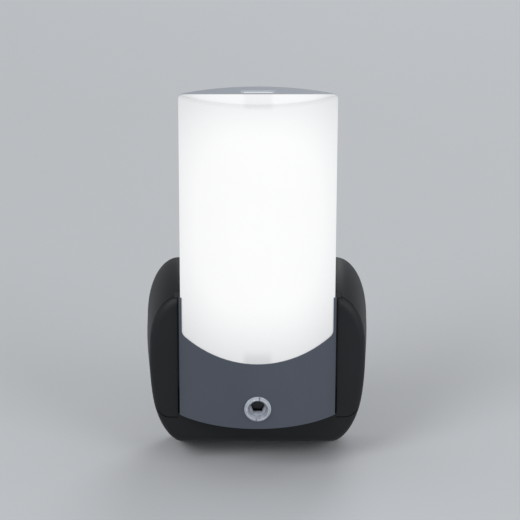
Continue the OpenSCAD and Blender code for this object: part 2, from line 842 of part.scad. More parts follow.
module rear_cover() color([0.86, 0.88, 0.91]) {
    inner_r = rear_r - lamp_wall;
    difference() {
        union() {
            difference() {
                intersection() {
                    rear_half(rear_r, foot_z, lamp_top_z);
                    plate(0, far / 2) lamp_front_view();
                }
                intersection() {
                    rear_half(inner_r, foot_z + lamp_wall, lamp_top_z);
                    plate(0, far / 2) lamp_front_view(lamp_wall);
                }
            }
            // side rails that run in the cradle's grooves
            both_sides() difference() {
                slab(rail_half_w, rail_front - rail_t, rail_front, foot_z + rail_foot,
                    arm_top_z - rail_set_down);
                translate([0, -rear_axis, foot_z - 1]) cylinder(r = inner_r + 0.6, h = far);
                translate([-far, -far / 2, -far / 2]) cube([far, far, far]);
            }
            intersection() {
                rear_half(rear_r - 0.4, foot_z, lamp_top_z);
                union() {
                    // bosses for the screws
                    both_sides() peg(head_boss_d, 0, parting_depth, head_screw_x, head_screw_z);
                    // posts under the control board
                    both_sides() for (z = board_post_zs) peg(board_post_d, 0,
                        control_board_depth, board_post_x, z);
                    // ribs that carry the reflector, the battery and the coil
                    both_sides() for (z = [reflector_z0 + 0.4, reflector_z1 - 4]) {
                        translate([reflector_half_w - reflector_rib_w / 2, 0, 0])
                            slab(reflector_rib_w / 2, 0, reflector_depth, z, z + rib_t);
                    }
                    for (z = battery_rib_zs) slab(battery_w / 2, 0, battery_depth, z, z + rib_t);
                    for (s = [-1, 1]) slab(coil_rib_w / 2, 0, pickup_depth,
                        coil_z + s * coil_rib_drop - rib_t / 2, coil_z + s * coil_rib_drop + rib_t / 2);
                    // ring round the button
                    peg(button_d + 2 * button_ring_w, 0, button_ring_end, 0, button_z);
                }
            }
        }
        both_sides() {
            peg(screw_d + 0.4, 0, parting_depth + 1, head_screw_x, head_screw_z);
            peg(screw_head_d + 0.6, 0, rear_at(rear_r, head_screw_x) + head_counterbore,
                head_screw_x, head_screw_z);
        }
        peg(button_d + 2 * slide_gap, 0, back_depth + 5, 0, button_z);
        // latch slot in the top wall
        slab(tab_w / 2 + 0.15, parting_depth - slot_set_back - slot_l,
            parting_depth - slot_set_back, lamp_top_z - lamp_wall - 1, lamp_top_z + 1);
    }
}

// Clear collar round the photocell
module sensor_lens() color([0.85, 0.88, 0.90, 0.6]) {
    front = nose_depth + panel_proud + collar_proud;
    back = nose_depth - lens_tail;
    translate([0, 0, sensor_z]) rotate([90, 0, 0]) rotate_extrude() polygon([
        [collar_bore_d / 2, back], [collar_d / 2, back],
        [collar_d / 2, nose_depth + panel_proud + lens_step],
        [collar_front_d / 2, front - lens_crown], [collar_front_d / 2 - lens_crown, front],
        [collar_mouth_d / 2 + lens_bevel, front], [collar_mouth_d / 2, front - lens_bevel]]);
}

// Opaque tube that keeps the lamp's own light off the photocell
module sensor_holder() color([0.10, 0.10, 0.11]) {
    back = control_board_depth + board_t;
    difference() {
        peg(collar_d, back, nose_depth - lens_tail, 0, sensor_z);
        peg(collar_bore_d + 2 * slide_gap, back + holder_floor, nose_depth, 0, sensor_z);
        cell_leads(2 * fit_gap);
    }
}

module cell_leads(grow = 0) {
    for (s = [-0.5, 0.5]) peg(cell_lead_d + grow, control_board_depth - lead_tail,
        nose_depth - lens_tail, s * cell_lead_pitch, sensor_z);
}

module photocell() color([0.55, 0.32, 0.22]) {
    face = nose_depth + panel_proud + collar_proud - cell_set_back;
    peg(collar_bore_d - 4 * fit_gap, face - cell_t, face, 0, sensor_z);
    intersection() {
        cell_leads();
        peg(collar_d, 0, face - eps, 0, sensor_z);
    }
}

// White sheet with folded edges behind the diodes
module reflector() color([0.97, 0.97, 0.97]) {
    slab(reflector_half_w, reflector_depth, reflector_depth + reflector_t, reflector_z0,
        reflector_z1);
    intersection() {
        for (z = [reflector_z0, reflector_z1 - reflector_t]) {
            slab(reflector_half_w - reflector_fold_in, reflector_depth,
                reflector_depth + reflector_fold, z, z + reflector_t);
        }
        front_half(front_r - lamp_wall - slide_gap, 0, lamp_top_z);
    }
}

module led_board() color([0.93, 0.93, 0.90]) {
    slab(led_board_w / 2, reflector_depth + reflector_t, led_depth,
        led_row_z - led_row_half - led_board_end, led_row_z + led_row_half + led_board_end);
}

module leds() color([1.0, 0.98, 0.86]) {
    for (i = [0:led_count - 1]) {
        translate([0, 0, led_row_z - led_row_half + i * led_pitch]) {
            slab(led_w / 2, led_depth, led_depth + led_t, -led_w / 2, led_w / 2);
            translate([0, -led_depth - led_t + eps, 0]) rotate([90, 0, 0])
                cylinder(d1 = led_dome_d, d2 = led_dome_top_d, h = led_dome_h);
        }
    }
}

module control_board() color([0.16, 0.36, 0.24]) {
    difference() {
        slab(control_board_half_w, control_board_depth, control_board_depth + board_t,
            control_board_z[0], control_board_z[1]);
        cell_leads(2 * fit_gap);
    }
}

module control_chip() color([0.11, 0.11, 0.12]) {
    translate([0, 0, control_chip_z])
        chip(control_chip_w, control_chip_pins, control_board_depth + board_t);
}

// Switch on the back of the control board; its stem ends short of the pressed button
module tact_switch() color([0.15, 0.15, 0.16]) {
    stem_end = button_face + button_l + button_travel + tact_slack;
    slab(tact_w / 2, control_board_depth - tact_t, control_board_depth, button_z - tact_w / 2,
        button_z + tact_w / 2);
    peg(tact_stem_d, stem_end, control_board_depth - tact_t + eps, 0, button_z);
}

module battery() color([0.30, 0.42, 0.62]) {
    slab(battery_w / 2, battery_depth, reflector_depth, battery_z[0], battery_z[1]);
    for (x = [-battery_tab_x, battery_tab_x]) translate([x, 0, 0]) {
        slab(battery_tab_w / 2, battery_depth + (battery_t - battery_tab_t) / 2,
            battery_depth + (battery_t + battery_tab_t) / 2, battery_z[0] - battery_tab_l,
            battery_z[0] + eps);
    }
}

// Two insulated leads from the battery's tabs down to the control board
module battery_leads() color([0.75, 0.15, 0.12]) {
    for (x = [-battery_tab_x, battery_tab_x]) {
        translate([x, lead_d / 2 - control_board_depth, control_board_z[1] - 1]) {
            cylinder(d = lead_d, h = battery_z[0] - battery_tab_l - control_board_z[1] + 1);
        }
    }
}

module pickup_bobbin() color([0.85, 0.83, 0.76]) bobbin(pickup_depth);

module pickup_coil() color([0.72, 0.38, 0.18]) winding(pickup_depth);

module head_screws() color([0.70, 0.71, 0.73]) {
    seat = rear_at(rear_r, head_screw_x) + head_counterbore;
    for (s = [-1, 1]) {
        screw(s * head_screw_x, head_screw_z, seat, parting_depth - seat + head_screw_bite);
    }
}

module switch_button() color([0.30, 0.32, 0.35]) {
    peg(button_d, button_face, button_face + button_l, 0, button_z);
    peg(button_d + 2 * slide_gap + 2 * button_flange, button_ring_end + fit_gap,
        button_face + button_l, 0, button_z);
}

base_rear_shell();
base_front_shell();
plug_insert();
plug_blades();
blade_contacts();
driver_board();
film_capacitor();
electrolytic_capacitor();
bridge_rectifier();
fuse_resistor();
driver_chip();
charger_bobbin();
charger_coil();
base_screws();
shade();
front_panel();
rear_cover();
sensor_lens();
sensor_holder();
photocell();
reflector();
led_board();
leds();
control_board();
control_chip();
tact_switch();
battery();
battery_leads();
pickup_bobbin();
pickup_coil();
head_screws();
switch_button();
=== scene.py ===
import bpy
import bmesh
import math
from mathutils import Matrix, Vector


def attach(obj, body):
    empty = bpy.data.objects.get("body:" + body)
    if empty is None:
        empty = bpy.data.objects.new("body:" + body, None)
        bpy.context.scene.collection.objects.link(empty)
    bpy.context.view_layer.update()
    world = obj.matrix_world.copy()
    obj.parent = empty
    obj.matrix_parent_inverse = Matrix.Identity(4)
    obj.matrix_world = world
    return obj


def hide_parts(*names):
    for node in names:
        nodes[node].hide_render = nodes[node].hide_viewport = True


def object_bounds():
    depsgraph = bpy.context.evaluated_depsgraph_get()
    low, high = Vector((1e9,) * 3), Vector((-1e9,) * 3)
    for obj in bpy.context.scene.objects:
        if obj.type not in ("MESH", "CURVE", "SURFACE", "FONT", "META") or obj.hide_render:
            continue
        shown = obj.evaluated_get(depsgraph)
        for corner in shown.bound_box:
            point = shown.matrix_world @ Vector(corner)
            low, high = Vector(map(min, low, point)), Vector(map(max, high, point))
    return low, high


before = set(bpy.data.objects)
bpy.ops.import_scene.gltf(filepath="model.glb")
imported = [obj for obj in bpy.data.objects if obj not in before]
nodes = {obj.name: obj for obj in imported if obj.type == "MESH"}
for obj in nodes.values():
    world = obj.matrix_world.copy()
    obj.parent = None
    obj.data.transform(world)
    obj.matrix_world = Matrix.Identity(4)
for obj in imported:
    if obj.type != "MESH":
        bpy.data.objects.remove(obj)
lo0, hi0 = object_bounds()
MM = 0.001


# ------------------------------------------------------------------ sizes, in mm, as in the part's source
# the base: size, side curve, corners at top and bottom, how far each side draws in towards the front
base_w, base_top, base_drop, base_depth = 75.4, 33.4, 32.8, 25.0
bulge_r, bulge_z = 106.0, 6.0
top_cw, top_ch, bot_cw, bot_ch = 10.8, 20.5, 10.0, 21.0
top_draw, bottom_draw, side_draw, bottom_power = 4.7, 7.9, 1.4, 1.33
base_wall, rim = 2.0, 3.0
# the wing faces of its front shell, and the seam round them
wing_t, wing_bottom, wing_margin, wing_flat, wing_corner_h = 2.0, -15.2, 1.0, 2.8, 12.0
seam, seam_gap = base_depth - wing_t, 0.3
insert_w, insert_h, insert_gap = 29.0, 22.0, 0.1
screw_d, screw_deep, screw_x, screw_zs = 4.6, 2.6, 25.0, (14.0, -2.0)

# the lamp: two cylinder faces that meet in the parting plane
lamp_w, lamp_h, foot_z = 51.5, 113.1, -13.5
front_bow, rear_bow, panel_proud = 11.2, 8.5, 0.35
parting, panel_arm_top = base_depth + 1.4, 29.2
lamp_hw, lamp_top = lamp_w / 2, foot_z + lamp_h
front_r = (lamp_hw ** 2 + front_bow ** 2) / (2 * front_bow)
rear_r = (lamp_hw ** 2 + rear_bow ** 2) / (2 * rear_bow)
front_ax = parting + front_bow - front_r
rear_ax = parting - rear_bow + rear_r
nose = parting + front_bow
panel_r = front_r + panel_proud
panel_hw = math.sqrt(panel_r ** 2 - (parting - front_ax) ** 2)
slot_front, slot_l, tab_hw = parting - 1.75, 2.3, 4.7

# the cradle: a channel for the lamp, with a groove on each side for the lamp's rail
back_gap, slide_gap, wing_gap = 0.5, 0.3, 0.6
floor_z, floor_t, floor_back, chan_wall = foot_z - 0.1, 1.8, 12.0, 1.8
wing_lip, rail_t, rail_reach = 1.3, 1.5, 1.4
chan_hw = panel_hw + wing_gap
rail_front = base_depth - wing_lip - slide_gap
groove_f, groove_b = rail_front + slide_gap, rail_front - rail_t - slide_gap
groove_hw = panel_hw + rail_reach + slide_gap
rail_root = math.sqrt(rear_r ** 2 - (rear_ax - groove_f) ** 2) + 0.05
chan_top, mouth = 60.0, max(base_depth, parting) + 1
# the rails go further up here than in the solids: where that starts, where it widens, where it is full
rail_join, rail_neck_end, rail_full = 18.0, 21.0, 23.0
rail_fit, rail_neck = 0.06, 0.26

# the sensor's collar; its conical mouth, throat, groove and slits are drawn here alone
sensor_z, collar_d, collar_front_d, collar_mouth_d, collar_proud = -6.2, 8.9, 8.15, 5.7, 1.1
lens_front, lens_back = nose + panel_proud + collar_proud, nose - 2.6
lens_step = nose + panel_proud + 0.25
lip_r, rim_r, rim_edge, cone_r, hole_r = 0.45, 3.42, 0.08, collar_mouth_d / 2 + 0.05, 2.45
cone_end, throat_end, cone_groove = lens_front - 1.5, lens_front - 3.2, 0.5
slit_turns, slit_hw, slit_deep = (82, 262), 0.19, 1.1
throat_sides = 5


# ------------------------------------------------------------------ small mesh tools
def new_object(name, verts, faces, scale=MM):
    me = bpy.data.meshes.new(name)
    me.from_pydata([Vector(v) * scale for v in verts], [], faces)
    me.validate()
    ob = bpy.data.objects.new(name, me)
    bpy.context.scene.collection.objects.link(ob)
    return ob


def opened(ob):
    """The object's mesh as a bmesh, to be edited and then closed."""
    bm = bmesh.new()
    bm.from_mesh(ob.data)
    return bm


def closed(bm, ob):
    """Puts an edited bmesh back into its object."""
    bm.to_mesh(ob.data)
    bm.free()
    return ob


def recalc(ob):
    """Turns all faces outwards."""
    bm = opened(ob)
    bmesh.ops.recalc_face_normals(bm, faces=bm.faces)
    return closed(bm, ob)


def loft(name, rings):
    """Closed solid through rings of (x, y, z), each as long, capped at both ends."""
    n = len(rings[0])
    verts = [p for r in rings for p in r]
    faces = [[k * n + i, k * n + (i + 1) % n, (k + 1) * n + (i + 1) % n, (k + 1) * n + i]
             for k in range(len(rings) - 1) for i in range(n)]
    faces += [list(range(n))[::-1], [(len(rings) - 1) * n + i for i in range(n)]]
    return recalc(new_object(name, verts, faces))


def plate(name, outline, d0, d1):
    """Prism of an x-z outline between two depths."""
    return loft(name, [[(x, -d, z) for x, z in outline] for d in (d0, d1)])


def slab(name, hw, d0, d1, z0, z1):
    """Box of a half width, between two depths and two heights."""
    return plate(name, [(-hw, z0), (hw, z0), (hw, z1), (-hw, z1)], d0, d1)


def circle(r, n):
    """Points of a circle round (0, 0)."""
    return [(r * math.cos(2 * math.pi * i / n), r * math.sin(2 * math.pi * i / n)) for i in range(n)]


def peg(name, d, d0, d1, x, z, n=64):
    """Cylinder of a diameter that points out of the wall, between two depths."""
    return plate(name, [(x + a, z + b) for a, b in circle(d / 2, n)], d0, d1)


def column(name, r, ax, z0, z1, n=256):
    """Upright cylinder round an axis at depth ax."""
    return loft(name, [[(a, -ax + b, z) for a, b in circle(r, n)] for z in (z0, z1)])


def baked(ob):
    """Applies an object's modifiers."""
    dg = bpy.context.evaluated_depsgraph_get()
    me = bpy.data.meshes.new_from_object(ob.evaluated_get(dg), preserve_all_data_layers=True, depsgraph=dg)
    ob.modifiers.clear()
    old, ob.data = ob.data, me
    bpy.data.meshes.remove(old)
    return ob


def boolean(a, b, op):
    """Joins b to a, takes it away or keeps what both share, and removes b."""
    m = a.modifiers.new("b", "BOOLEAN")
    m.operation, m.solver, m.object = op, "EXACT", b
    baked(a)
    bpy.data.objects.remove(b)
    return a


def cleaned(ob, weld=2e-6, flat=0.4):
    """Welds points closer than a distance in metres and joins faces flat within an angle in degrees."""
    bm = opened(ob)
    bmesh.ops.remove_doubles(bm, verts=bm.verts, dist=weld)
    bmesh.ops.dissolve_degenerate(bm, edges=bm.edges, dist=weld)
    bmesh.ops.dissolve_limit(bm, angle_limit=math.radians(flat), verts=bm.verts, edges=bm.edges,
                             use_dissolve_boundaries=False)
    return closed(bm, ob)


def smooth(ob, angle=34.0):
    """Shades smooth up to an angle in degrees, with large faces kept flat."""
    for p in ob.data.polygons:
        p.use_smooth = True
    ob.data.set_sharp_from_angle(angle=math.radians(angle))
    m = ob.modifiers.new("wn", "WEIGHTED_NORMAL")
    m.weight, m.keep_sharp = 80, True
    return baked(ob)


def bevelled(ob, width, segments=3, angle=32.0, share=None):
    """Rounds the sharp edges; share(midpoint in mm) gives an edge less than the full width."""
    bm = opened(ob)
    lay = bm.edges.layers.float.new("bevel_weight_edge")
    for e in bm.edges:
        if len(e.link_faces) == 2 and e.calc_face_angle(0.0) > math.radians(angle):
            e[lay] = share((e.verts[0].co + e.verts[1].co) / 2 / MM) if share else 1.0
    closed(bm, ob)
    m = ob.modifiers.new("bevel", "BEVEL")
    m.width, m.segments, m.limit_method, m.use_clamp_overlap = width * MM, segments, "WEIGHT", True
    m.miter_outer = "MITER_ARC"
    baked(ob)
    return smooth(ob)


def copy_of(node, name):
    """A welded copy of a CAD node's mesh, as a piece of its own."""
    ob = nodes[node].copy()
    ob.data = nodes[node].data.copy()
    for k in list(ob.keys()):
        del ob[k]
    ob.name = name
    ob.parent = None
    ob.matrix_world = Matrix.Identity(4)
    bpy.context.scene.collection.objects.link(ob)
    if ob.data.has_custom_normals:
        bpy.context.view_layer.objects.active = ob
        ob.data.normals_split_custom_set([(0, 0, 0)] * len(ob.data.loops))
        if ob.data.attributes.get("custom_normal"):
            ob.data.attributes.remove(ob.data.attributes["custom_normal"])
    ob.data.materials.clear()
    return cleaned(ob, weld=1e-6)


def finished(ob, body, node, material):
    """Gives a piece its material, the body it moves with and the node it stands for."""
    ob.data.materials.clear()
    ob.data.materials.append(material)
    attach(ob, body)
    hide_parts(node)
    return ob


# ------------------------------------------------------------------ material tools
# m is a material, t its node tree and p its Principled shader
def linear(c):
    """One sRGB value from 0 to 255 as linear light."""
    v = c / 255
    return v / 12.92 if v <= 0.04045 else ((v + 0.055) / 1.055) ** 2.4


def srgb(r, g, b):
    return (linear(r), linear(g), linear(b), 1.0)


def grey(v):
    return (v, v, v, 1.0)


def toned(colour, factor):
    return tuple(min(1.0, c * factor) for c in colour[:3]) + (1.0,)


def node_material(name):
    m = bpy.data.materials.new(name)
    m.use_nodes = True
    t = m.node_tree
    return m, t, t.nodes["Principled BSDF"]


def add(t, kind, **inputs):
    """A new node with some of its inputs set; a space in an input's name is written as _."""
    n = t.nodes.new(kind)
    for k, v in inputs.items():
        n.inputs[k.replace("_", " ")].default_value = v
    return n


def place(t):
    """Object coordinates, in metres."""
    return add(t, "ShaderNodeTexCoord").outputs["Object"]


def axes(t):
    """The x, y and z of a point."""
    sep = add(t, "ShaderNodeSeparateXYZ")
    t.links.new(place(t), sep.inputs["Vector"])
    return sep.outputs["X"], sep.outputs["Y"], sep.outputs["Z"]


def length(t, vector):
    n = t.nodes.new("ShaderNodeVectorMath")
    n.operation = "LENGTH"
    t.links.new(vector, n.inputs[0])
    return n.outputs["Value"]


def noise(t, scale, detail=3.0, rough=0.5, stretch=None):
    src = place(t)
    if stretch:
        mp = add(t, "ShaderNodeMapping", Scale=stretch)
        t.links.new(src, mp.inputs["Vector"])
        src = mp.outputs["Vector"]
    n = add(t, "ShaderNodeTexNoise", Scale=scale, Detail=detail, Roughness=rough)
    t.links.new(src, n.inputs["Vector"])
    return n.outputs["Fac"]


def ramp(t, fac, stops):
    r = t.nodes.new("ShaderNodeValToRGB")
    while len(r.color_ramp.elements) < len(stops):
        r.color_ramp.elements.new(0.5)
    for e, (p, c) in zip(r.color_ramp.elements, stops):
        e.position, e.color = p, c
    t.links.new(fac, r.inputs["Fac"])
    return r.outputs["Color"]


def maths(t, op, a, b=None):
    """A Math node on one or two values or sockets."""
    n = t.nodes.new("ShaderNodeMath")
    n.operation = op
    for i, v in enumerate((a, b)):
        if isinstance(v, (int, float)):
            n.inputs[i].default_value = v
        elif v is not None:
            t.links.new(v, n.inputs[i])
    return n.outputs[0]


def product(t, *values):
    out = values[0]
    for v in values[1:]:
        out = maths(t, "MULTIPLY", out, v)
    return out


def absolute(t, v):
    return maths(t, "ABSOLUTE", v)


def mixed(t, fac, a, b):
    """Colour a where the factor is 0 and b where it is 1."""
    n = t.nodes.new("ShaderNodeMix")
    n.data_type = "RGBA"
    t.links.new(fac, n.inputs["Factor"])
    for k, v in (("A", a), ("B", b)):
        socket = [i for i in n.inputs if i.name == k and i.type == "RGBA"][0]
        if isinstance(v, tuple):
            socket.default_value = v
        else:
            t.links.new(v, socket)
    return [o for o in n.outputs if o.type == "RGBA"][0]


def band(t, v, inner, outer):
    """1 where the value is below inner, falling smoothly to 0 at outer, both in mm."""
    n = t.nodes.new("ShaderNodeMapRange")
    n.interpolation_type = "SMOOTHSTEP"
    for k, x in (("From Min", inner * MM), ("From Max", outer * MM), ("To Min", 1.0), ("To Max", 0.0)):
        n.inputs[k].default_value = x
    t.links.new(v, n.inputs["Value"])
    return n.outputs["Result"]


def roughen(t, p, fac, low, high, edge=0.25):
    """Roughness from low to high over the middle part of a noise."""
    t.links.new(ramp(t, fac, [(edge, grey(low)), (1 - edge, grey(high))]), p.inputs["Roughness"])


def bump(t, p, fac, strength, height):
    """Relief of a height in mm."""
    b = add(t, "ShaderNodeBump", Strength=strength, Distance=height * MM)
    t.links.new(fac, b.inputs["Height"])
    t.links.new(b.outputs["Normal"], p.inputs["Normal"])


def flow_marks(t):
    """The slow change of tone over a moulded surface."""
    return noise(t, 42.0, 3.0, 0.6)


def specks(t, amount, cell=300.0, size=0.05):
    """Sparse specks of dust: a small spot in one cell out of thirty."""
    v = add(t, "ShaderNodeTexVoronoi", Scale=cell)
    t.links.new(place(t), v.inputs["Vector"])
    pick = add(t, "ShaderNodeSeparateColor")
    t.links.new(v.outputs["Color"], pick.inputs["Color"])
    chosen = maths(t, "GREATER_THAN", pick.outputs["Red"], 0.967)
    spot = maths(t, "LESS_THAN", v.outputs["Distance"], size)
    return product(t, chosen, spot, amount)


# ------------------------------------------------------------------ materials
# the shade's glow: a rounded rectangle of even light that falls off past its core
glow_z, glow_rx, glow_rz, glow_square = 59.0, 39.1, 56.6, 2.9
glow_level, glow_core, glow_fall, glow_power = 0.648, 0.51, 0.80, 1.37
# how much dimmer its upper edge and corners are, how deep the painted shadows of the latch tabs are, and
# how much brighter the barb in the slot
edge_dim, corner_dim, top_tab_shadow_dim, low_tab_shadow_dim, barb_glow = 0.045, 0.11, 0.07, 0.11, 0.2
# light through the cover round the slot, and the height of the coils' axis
slot_leak, coil_z = 0.14, 19.0


def moulded(name, rgb, rough, grain=2200.0, height=0.012, vary=0.06, spec=0.5, metal=0.0, dust=0.0):
    """Moulded plastic: fine spark-eroded grain, slight flow marks and uneven sheen."""
    m, t, p = node_material(name)
    base = srgb(*rgb)
    tone = ramp(t, flow_marks(t), [(0.3, toned(base, 1 - vary)), (0.7, toned(base, 1 + vary))])
    if dust:
        tone = mixed(t, specks(t, dust), tone, srgb(120, 122, 126))
    t.links.new(tone, p.inputs["Base Color"])
    fine = noise(t, grain, 2.0, 0.55)
    roughen(t, p, fine, rough - 0.07, rough + 0.07)
    bump(t, p, fine, 0.35, height)
    p.inputs["Specular IOR Level"].default_value = spec
    p.inputs["Metallic"].default_value = metal
    return m


def brushed(name, rgb, rough, stretch=None, scale=900.0):
    """Drawn or plated metal with a faint grain along one direction."""
    m, t, p = node_material(name)
    base = srgb(*rgb)
    grain = noise(t, scale, 2.0, 0.5, stretch)
    t.links.new(ramp(t, grain, [(0.3, toned(base, 0.94)), (0.7, base)]), p.inputs["Base Color"])
    roughen(t, p, grain, rough - 0.04, rough + 0.06, 0.2)
    bump(t, p, grain, 0.2, 0.001)
    p.inputs["Metallic"].default_value = 0.9
    return m


def board_material():
    """Glossy green board, faintly mottled."""
    m, t, p = node_material("board_green")
    v = add(t, "ShaderNodeTexVoronoi", Scale=420.0)
    t.links.new(place(t), v.inputs["Vector"])
    stops = [(0.10, srgb(38, 92, 62)), (0.16, srgb(46, 110, 74)), (0.5, srgb(40, 98, 66))]
    t.links.new(ramp(t, v.outputs["Distance"], stops), p.inputs["Base Color"])
    p.inputs["Roughness"].default_value = 0.35
    p.inputs["Coat Weight"].default_value = 0.3
    return m


def copper_material():
    """Turns of enamelled wire round the coils' axis."""
    m, t, p = node_material("enamelled_copper")
    mp = add(t, "ShaderNodeMapping", Location=(0, 0, -coil_z * MM))
    t.links.new(place(t), mp.inputs["Vector"])
    w = add(t, "ShaderNodeTexWave", Scale=900.0, Distortion=0.4)
    w.wave_type, w.rings_direction = "RINGS", "Y"
    t.links.new(mp.outputs["Vector"], w.inputs["Vector"])
    stops = [(0.1, srgb(118, 58, 26)), (0.8, srgb(206, 124, 66))]
    t.links.new(ramp(t, w.outputs["Fac"], stops), p.inputs["Base Color"])
    bump(t, p, w.outputs["Fac"], 0.6, 0.05)
    p.inputs["Metallic"].default_value = 0.8
    p.inputs["Roughness"].default_value = 0.3
    return m


def cover_material():
    """Smoky frosted plastic with light leaking round the latch slot; its rails in the grooves are painted
    near black as painted shade of the gap beside the lamp.
    """
    m, t, p = node_material("frosted_cover_painted_shade_rails")
    x, y, z = axes(t)
    # painted shade: past the lamp's sides, below the arms' tops and behind the grooves' fronts the rails
    # turn near black, standing for the shade in the gap between lamp and wings
    side = maths(t, "GREATER_THAN", absolute(t, x), rail_root * MM)
    low = maths(t, "LESS_THAN", z, (panel_arm_top + 0.2) * MM)
    behind = maths(t, "GREATER_THAN", y, -(groove_f + 0.02) * MM)
    flow = ramp(t, flow_marks(t), [(0.3, srgb(143, 150, 161)), (0.7, srgb(150, 157, 168))])
    t.links.new(mixed(t, product(t, side, low, behind), flow, srgb(26, 27, 30)), p.inputs["Base Color"])
    from_slot = absolute(t, maths(t, "ADD", y, (slot_front - slot_l / 2 + 0.1) * MM))
    across = band(t, absolute(t, x), tab_hw, tab_hw + 1.3)
    along = band(t, from_slot, slot_l / 2 + 0.1, slot_l / 2 + 0.5)
    near_top = maths(t, "GREATER_THAN", z, (lamp_top - 1.9) * MM)
    t.links.new(product(t, across, along, near_top, slot_leak), p.inputs["Emission Strength"])
    p.inputs["Emission Color"].default_value = (0.93, 0.96, 1.0, 1.0)
    fine = noise(t, 2400.0, 2.0, 0.55)
    roughen(t, p, fine, 0.34, 0.46)
    bump(t, p, fine, 0.3, 0.012)
    return m


def glow_fall_off(t, x, z):
    """Distance from the middle of the glow, 1 on its rounded outline, and how much light is lost there."""
    sides = maths(t, "POWER", maths(t, "DIVIDE", absolute(t, x), glow_rx * MM), glow_square)
    from_mid = absolute(t, maths(t, "SUBTRACT", z, glow_z * MM))
    ends = maths(t, "POWER", maths(t, "DIVIDE", from_mid, glow_rz * MM), glow_square)
    r = maths(t, "POWER", maths(t, "ADD", sides, ends), 1 / glow_square)
    past_core = maths(t, "MAXIMUM", maths(t, "SUBTRACT", r, glow_core), 0.0)
    return r, product(t, maths(t, "POWER", past_core, glow_power), glow_fall)


def shade_material():
    """Opal acrylic lit from inside: even in the middle, dimmer to its rim, with painted shadows of the
    latch tabs.
    """
    m, t, p = node_material("opal_shade")
    x, y, z = axes(t)
    below_top = maths(t, "SUBTRACT", lamp_top * MM, z)
    r, lost = glow_fall_off(t, x, z)
    spoke = add(t, "ShaderNodeCombineXYZ")
    t.links.new(x, spoke.inputs["X"])
    t.links.new(maths(t, "ADD", y, front_ax * MM), spoke.inputs["Y"])
    behind_front = maths(t, "SUBTRACT", front_r * MM, length(t, spoke.outputs["Vector"]))
    edge = product(t, band(t, below_top, 0.5, 1.9), band(t, behind_front, 0.3, 2.4))
    to_corners = maths(t, "SUBTRACT", 1.0, band(t, absolute(t, x), 17.0, 26.0))
    corner = product(t, band(t, below_top, 0.0, 0.6), to_corners)
    # painted shadows of the latch tabs in the glow, one under the top and one low down
    tab_x = band(t, absolute(t, x), 3.4, 5.6)
    top_tab_shadow = product(t, tab_x, band(t, below_top, 0.4, 2.6))
    low_tab_shadow = product(t, tab_x, band(t, z, 11.0, 15.4))
    light = maths(t, "SUBTRACT", glow_level, lost)
    dims = ((edge, edge_dim), (corner, corner_dim), (top_tab_shadow, top_tab_shadow_dim), (low_tab_shadow, low_tab_shadow_dim))
    for where, dim in dims:
        light = maths(t, "SUBTRACT", light, product(t, where, dim))
    # this far back only the latch barb in the slot is seen
    barb = band(t, maths(t, "MULTIPLY", y, -1.0), slot_front - 1.4, slot_front - 1.0)
    light = maths(t, "ADD", light, product(t, barb, barb_glow))
    fine = noise(t, 1800.0, 2.0, 0.5)
    light = product(t, light, maths(t, "ADD", 0.985, product(t, fine, 0.03)))
    t.links.new(light, p.inputs["Emission Strength"])
    cool = (0.975, 0.985, 1.0, 1.0)
    t.links.new(ramp(t, r, [(0.5, grey(1.0)), (0.9, cool)]), p.inputs["Emission Color"])
    flow = noise(t, 38.0, 3.0, 0.5)
    t.links.new(ramp(t, flow, [(0.3, grey(0.395)), (0.7, grey(0.405))]), p.inputs["Base Color"])
    roughen(t, p, fine, 0.36, 0.46)
    bump(t, p, fine, 0.3, 0.008)
    p.inputs["Specular IOR Level"].default_value = 0.3
    return m


def clear_material():
    """Cloudy clear polycarbonate with moulding flow."""
    m, t, p = node_material("sensor_clear")
    roughen(t, p, noise(t, 1600.0, 2.0, 0.5), 0.1, 0.22, 0.2)
    stops = [(0.3, srgb(168, 175, 187)), (0.7, srgb(204, 209, 219))]
    t.links.new(ramp(t, noise(t, 520.0, 3.0, 0.6), stops), p.inputs["Base Color"])
    p.inputs["Coat Weight"].default_value = 0.5
    return m


def cell_material():
    """Dark photocell face under clear resin, with its meandering track."""
    m, t, p = node_material("photocell_face")
    w = add(t, "ShaderNodeTexWave", Scale=330.0, Distortion=1.4, Detail=0.0)
    w.bands_direction = "Z"
    t.links.new(place(t), w.inputs["Vector"])
    stops = [(0.42, srgb(24, 24, 26)), (0.5, srgb(52, 44, 40)), (0.58, srgb(26, 26, 28))]
    t.links.new(ramp(t, w.outputs["Fac"], stops), p.inputs["Base Color"])
    roughen(t, p, noise(t, 900.0), 0.22, 0.32, 0.3)
    return m


